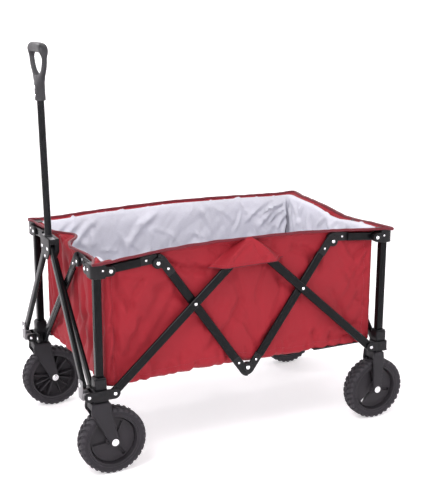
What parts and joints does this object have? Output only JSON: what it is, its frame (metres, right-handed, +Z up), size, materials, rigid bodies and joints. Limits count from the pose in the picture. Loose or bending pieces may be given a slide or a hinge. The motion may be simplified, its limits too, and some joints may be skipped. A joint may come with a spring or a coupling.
{
  "type": "folding camp wagon",
  "caption": "Collapsible camp wagon: an open fabric tub in a folding scissor frame, with swivelling front wheels, fixed rear wheels and an upright pull handle.",
  "frame": {"origin": "on the ground under the middle of the wagon's bounding box", "axes": "+X forward to the handle, +Y to the wagon's left, +Z up"},
  "size_m": [0.9952, 0.555, 1.0851],
  "materials": {
    "frame_tube": "gloss",
    "handle_tube": "gloss",
    "yoke_steel": "satin",
    "bracket_plastic": "satin",
    "fork_plastic": "satin",
    "wheel_plastic": "satin",
    "tyre": "matte",
    "rivet": "gloss",
    "grip_plastic": "satin",
    "red_fabric": "matte",
    "silver_lining": "satin",
    "piping": "satin",
    "floor_board": "matte"
  },
  "bodies": {
    "front_left_corner": {"post_front_left": "frame_tube", "top_bracket_front_left": "bracket_plastic", "lower_bracket_front_left": "bracket_plastic", "tub_wall_left": "red_fabric", "tub_wall_front": "red_fabric"},
    "front_right_corner": {"post_front_right": "frame_tube", "top_bracket_front_right": "bracket_plastic", "lower_bracket_front_right": "bracket_plastic", "tub_wall_right": "red_fabric"},
    "rear_left_corner": {"post_rear_left": "frame_tube", "top_bracket_rear_left": "bracket_plastic", "lower_bracket_rear_left": "bracket_plastic", "tub_wall_rear": "red_fabric", "rear_fork_left": "fork_plastic", "axle_rear_left": "rivet"},
    "rear_right_corner": {"post_rear_right": "frame_tube", "top_bracket_rear_right": "bracket_plastic", "lower_bracket_rear_right": "bracket_plastic", "rear_fork_right": "fork_plastic", "axle_rear_right": "rivet"},
    "front_left_brace": {"side_brace_front_left": "frame_tube"},
    "front_left_strut": {"side_strut_front_left": "frame_tube"},
    "front_left_link": {"side_link_front_left": "frame_tube"},
    "rear_left_brace": {"side_brace_rear_left": "frame_tube"},
    "rear_left_strut": {"side_strut_rear_left": "frame_tube"},
    "rear_left_link": {"side_link_rear_left": "frame_tube"},
    "front_end_bar_left": {"end_bar_front_left": "frame_tube"},
    "front_end_bar_right": {"end_bar_front_right": "frame_tube"},
    "front_end_link_left": {"end_link_front_left": "frame_tube"},
    "front_end_link_right": {"end_link_front_right": "frame_tube"},
    "front_right_brace": {"side_brace_front_right": "frame_tube"},
    "front_right_strut": {"side_strut_front_right": "frame_tube"},
    "front_right_link": {"side_link_front_right": "frame_tube"},
    "rear_right_brace": {"side_brace_rear_right": "frame_tube"},
    "rear_right_strut": {"side_strut_rear_right": "frame_tube"},
    "rear_right_link": {"side_link_rear_right": "frame_tube"},
    "rear_end_bar_left": {"end_bar_rear_left": "frame_tube"},
    "rear_end_bar_right": {"end_bar_rear_right": "frame_tube"},
    "rear_end_link_left": {"end_link_rear_left": "frame_tube"},
    "rear_end_link_right": {"end_link_rear_right": "frame_tube"},
    "floor_left": {"tub_floor_left": "floor_board"},
    "floor_right": {"tub_floor_right": "floor_board"},
    "handle_yoke_left": {"handle_yoke_left": "yoke_steel"},
    "handle_yoke_right": {"handle_yoke_right": "yoke_steel"},
    "handle_leg_left": {"handle_leg_left": "frame_tube"},
    "handle_leg_right": {"handle_leg_right": "frame_tube"},
    "handle": {"handle_pole": "handle_tube", "handle_grip": "grip_plastic"},
    "caster_left": {"caster_fork_left": "fork_plastic", "axle_front_left": "rivet"},
    "front_wheel_left": {"tyre_front_left": "tyre", "rim_front_left": "wheel_plastic"},
    "rear_wheel_left": {"tyre_rear_left": "tyre", "rim_rear_left": "wheel_plastic"},
    "caster_right": {"caster_fork_right": "fork_plastic", "axle_front_right": "rivet"},
    "front_wheel_right": {"tyre_front_right": "tyre", "rim_front_right": "wheel_plastic"},
    "rear_wheel_right": {"tyre_rear_right": "tyre", "rim_rear_right": "wheel_plastic"}
  },
  "joints": [
    {"name": "fold", "type": "hinge", "parent": "front_left_corner", "child": "front_left_brace", "pos_m": [0.39, 0.258, 0.221], "axis": [0, 1, 0], "range_deg": [0, 40.15], "deforming": ["tub_wall_left", "tub_wall_right", "tub_wall_front", "tub_wall_rear", "tub_floor_left", "tub_floor_right"]},
    {"name": "left_centre_top_pivot", "type": "hinge", "parent": "front_left_brace", "child": "rear_left_brace", "pos_m": [0, 0.258, 0.553], "axis": [0, 1, 0], "range_deg": [-80.33, 0]},
    {"name": "rear_left_corner_pivot", "type": "hinge", "parent": "rear_left_brace", "child": "rear_left_corner", "pos_m": [-0.39, 0.258, 0.221], "axis": [0, 1, 0], "range_deg": [0, 40.17]},
    {"name": "front_left_crossing", "type": "hinge", "parent": "front_left_brace", "child": "front_left_strut", "pos_m": [0.16139, 0.246, 0.42544], "axis": [0, 1, 0], "range_deg": [-69.28, 0]},
    {"name": "rear_left_crossing", "type": "hinge", "parent": "rear_left_brace", "child": "rear_left_strut", "pos_m": [-0.16139, 0.246, 0.42544], "axis": [0, 1, 0], "range_deg": [0, 69.28]},
    {"name": "front_left_link_pivot", "type": "hinge", "parent": "front_left_corner", "child": "front_left_link", "pos_m": [0.395, 0.246, 0.544], "axis": [0, 1, 0], "range_deg": [0, 82.08]},
    {"name": "rear_left_link_pivot", "type": "hinge", "parent": "rear_left_corner", "child": "rear_left_link", "pos_m": [-0.395, 0.246, 0.544], "axis": [0, 1, 0], "range_deg": [-82.08, 0]},
    {"name": "front_end_left_foot", "type": "hinge", "parent": "front_left_corner", "child": "front_end_bar_left", "pos_m": [0.4346, 0.216, 0.221], "axis": [1, 0, 0], "range_deg": [-29.79, 0]},
    {"name": "front_end_crossing", "type": "hinge", "parent": "front_end_bar_left", "child": "front_end_bar_right", "pos_m": [0.4346, 0, 0.44301], "axis": [1, 0, 0], "range_deg": [0, 59.56]},
    {"name": "front_end_right_foot", "type": "hinge", "parent": "front_end_bar_right", "child": "front_right_corner", "pos_m": [0.4346, -0.216, 0.221], "axis": [1, 0, 0], "range_deg": [-29.79, 0]},
    {"name": "front_end_link_left_pivot", "type": "hinge", "parent": "front_left_corner", "child": "front_end_link_left", "pos_m": [0.423, 0.216, 0.544], "axis": [1, 0, 0], "range_deg": [-79.65, 0]},
    {"name": "front_end_link_right_pivot", "type": "hinge", "parent": "front_right_corner", "child": "front_end_link_right", "pos_m": [0.4346, -0.216, 0.544], "axis": [1, 0, 0], "range_deg": [0, 79.65]},
    {"name": "front_right_brace_pivot", "type": "hinge", "parent": "front_right_corner", "child": "front_right_brace", "pos_m": [0.39, -0.258, 0.221], "axis": [0, 1, 0], "range_deg": [0, 40.17]},
    {"name": "right_centre_top_pivot", "type": "hinge", "parent": "front_right_brace", "child": "rear_right_brace", "pos_m": [0, -0.258, 0.553], "axis": [0, 1, 0], "range_deg": [-80.33, 0]},
    {"name": "rear_right_corner_pivot", "type": "hinge", "parent": "rear_right_brace", "child": "rear_right_corner", "pos_m": [-0.39, -0.258, 0.221], "axis": [0, 1, 0], "range_deg": [0, 40.17]},
    {"name": "front_right_crossing", "type": "hinge", "parent": "front_right_brace", "child": "front_right_strut", "pos_m": [0.16139, -0.246, 0.42544], "axis": [0, 1, 0], "range_deg": [-69.28, 0]},
    {"name": "rear_right_crossing", "type": "hinge", "parent": "rear_right_brace", "child": "rear_right_strut", "pos_m": [-0.16139, -0.246, 0.42544], "axis": [0, 1, 0], "range_deg": [0, 69.28]},
    {"name": "front_right_link_pivot", "type": "hinge", "parent": "front_right_corner", "child": "front_right_link", "pos_m": [0.395, -0.246, 0.544], "axis": [0, 1, 0], "range_deg": [0, 82.08]},
    {"name": "rear_right_link_pivot", "type": "hinge", "parent": "rear_right_corner", "child": "rear_right_link", "pos_m": [-0.395, -0.246, 0.544], "axis": [0, 1, 0], "range_deg": [-82.08, 0]},
    {"name": "rear_end_left_foot", "type": "hinge", "parent": "rear_left_corner", "child": "rear_end_bar_left", "pos_m": [-0.4346, 0.216, 0.221], "axis": [1, 0, 0], "range_deg": [-29.79, 0]},
    {"name": "rear_end_crossing", "type": "hinge", "parent": "rear_end_bar_left", "child": "rear_end_bar_right", "pos_m": [-0.4346, 0, 0.44301], "axis": [1, 0, 0], "range_deg": [0, 59.56]},
    {"name": "rear_end_link_left_pivot", "type": "hinge", "parent": "rear_left_corner", "child": "rear_end_link_left", "pos_m": [-0.423, 0.216, 0.544], "axis": [1, 0, 0], "range_deg": [-79.65, 0]},
    {"name": "rear_end_link_right_pivot", "type": "hinge", "parent": "rear_right_corner", "child": "rear_end_link_right", "pos_m": [-0.4346, -0.216, 0.544], "axis": [1, 0, 0], "range_deg": [0, 79.65]},
    {"name": "floor_left_hinge", "type": "hinge", "parent": "front_left_corner", "child": "floor_left", "pos_m": [0, 0.2345, 0.231], "axis": [1, 0, 0], "range_deg": [-66.08, 0]},
    {"name": "floor_right_hinge", "type": "hinge", "parent": "front_right_corner", "child": "floor_right", "pos_m": [0, -0.2345, 0.231], "axis": [1, 0, 0], "range_deg": [0, 66.08]},
    {"name": "handle_tilt", "type": "hinge", "parent": "front_left_corner", "child": "handle_yoke_left", "pos_m": [0.46, 0.249, 0.221], "axis": [0, 1, 0], "range_deg": [0, 90]},
    {"name": "handle_tilt_right", "type": "hinge", "parent": "front_right_corner", "child": "handle_yoke_right", "pos_m": [0.46, -0.249, 0.221], "axis": [0, 1, 0], "range_deg": [0, 90.02]},
    {"name": "handle_leg_left_spread", "type": "hinge", "parent": "handle_yoke_left", "child": "handle_leg_left", "pos_m": [0.468, 0.247, 0.251], "axis": [1, 0, 0], "range_deg": [-23.53, 0]},
    {"name": "handle_head_left_pivot", "type": "hinge", "parent": "handle_leg_left", "child": "handle", "pos_m": [0.468, 0.022, 0.552], "axis": [1, 0, 0], "range_deg": [0, 23.53]},
    {"name": "handle_leg_right_spread", "type": "hinge", "parent": "handle", "child": "handle_leg_right", "pos_m": [0.468, -0.022, 0.552], "axis": [1, 0, 0], "range_deg": [0, 23.53]},
    {"name": "caster_swivel_left", "type": "hinge", "parent": "front_left_corner", "child": "caster_left", "pos_m": [0.43, 0.247, 0.09], "axis": [0, 0, 1], "continuous": true},
    {"name": "front_wheel_spin_left", "type": "hinge", "parent": "caster_left", "child": "front_wheel_left", "pos_m": [0.395, 0.247, 0.0895], "axis": [0, 1, 0], "continuous": true},
    {"name": "rear_wheel_spin_left", "type": "hinge", "parent": "rear_left_corner", "child": "rear_wheel_left", "pos_m": [-0.414, 0.247, 0.0895], "axis": [0, 1, 0], "continuous": true},
    {"name": "caster_swivel_right", "type": "hinge", "parent": "front_right_corner", "child": "caster_right", "pos_m": [0.43, -0.247, 0.09], "axis": [0, 0, 1], "continuous": true},
    {"name": "front_wheel_spin_right", "type": "hinge", "parent": "caster_right", "child": "front_wheel_right", "pos_m": [0.395, -0.247, 0.0895], "axis": [0, 1, 0], "continuous": true},
    {"name": "rear_wheel_spin_right", "type": "hinge", "parent": "rear_right_corner", "child": "rear_wheel_right", "pos_m": [-0.414, -0.247, 0.0895], "axis": [0, 1, 0], "continuous": true}
  ],
  "couplings": [
    {"joint": "left_centre_top_pivot", "follows": "fold", "ratio": -2},
    {"joint": "rear_left_corner_pivot", "follows": "fold", "ratio": 1},
    {"joint": "front_left_crossing", "follows": "fold", "ratio": -1.7247},
    {"joint": "rear_left_crossing", "follows": "fold", "ratio": 1.7247},
    {"joint": "front_left_link_pivot", "follows": "fold", "ratio": 2.0435},
    {"joint": "rear_left_link_pivot", "follows": "fold", "ratio": -2.0435},
    {"joint": "front_end_left_foot", "follows": "fold", "ratio": -0.74138},
    {"joint": "front_end_crossing", "follows": "fold", "ratio": 1.4828},
    {"joint": "front_end_right_foot", "follows": "fold", "ratio": -0.74138},
    {"joint": "front_end_link_left_pivot", "follows": "fold", "ratio": -1.983},
    {"joint": "front_end_link_right_pivot", "follows": "fold", "ratio": 1.983},
    {"joint": "front_right_brace_pivot", "follows": "fold", "ratio": 1},
    {"joint": "right_centre_top_pivot", "follows": "fold", "ratio": -2},
    {"joint": "rear_right_corner_pivot", "follows": "fold", "ratio": 1},
    {"joint": "front_right_crossing", "follows": "fold", "ratio": -1.7247},
    {"joint": "rear_right_crossing", "follows": "fold", "ratio": 1.7247},
    {"joint": "front_right_link_pivot", "follows": "fold", "ratio": 2.0435},
    {"joint": "rear_right_link_pivot", "follows": "fold", "ratio": -2.0435},
    {"joint": "rear_end_left_foot", "follows": "fold", "ratio": -0.74138},
    {"joint": "rear_end_crossing", "follows": "fold", "ratio": 1.4828},
    {"joint": "rear_end_link_left_pivot", "follows": "fold", "ratio": -1.983},
    {"joint": "rear_end_link_right_pivot", "follows": "fold", "ratio": 1.983},
    {"joint": "floor_left_hinge", "follows": "fold", "ratio": -1.6451},
    {"joint": "floor_right_hinge", "follows": "fold", "ratio": 1.6451},
    {"joint": "handle_tilt_right", "follows": "handle_tilt", "ratio": 1},
    {"joint": "handle_leg_left_spread", "follows": "fold", "ratio": -0.58544},
    {"joint": "handle_head_left_pivot", "follows": "fold", "ratio": 0.58544},
    {"joint": "handle_leg_right_spread", "follows": "fold", "ratio": 0.58544}
  ]
}
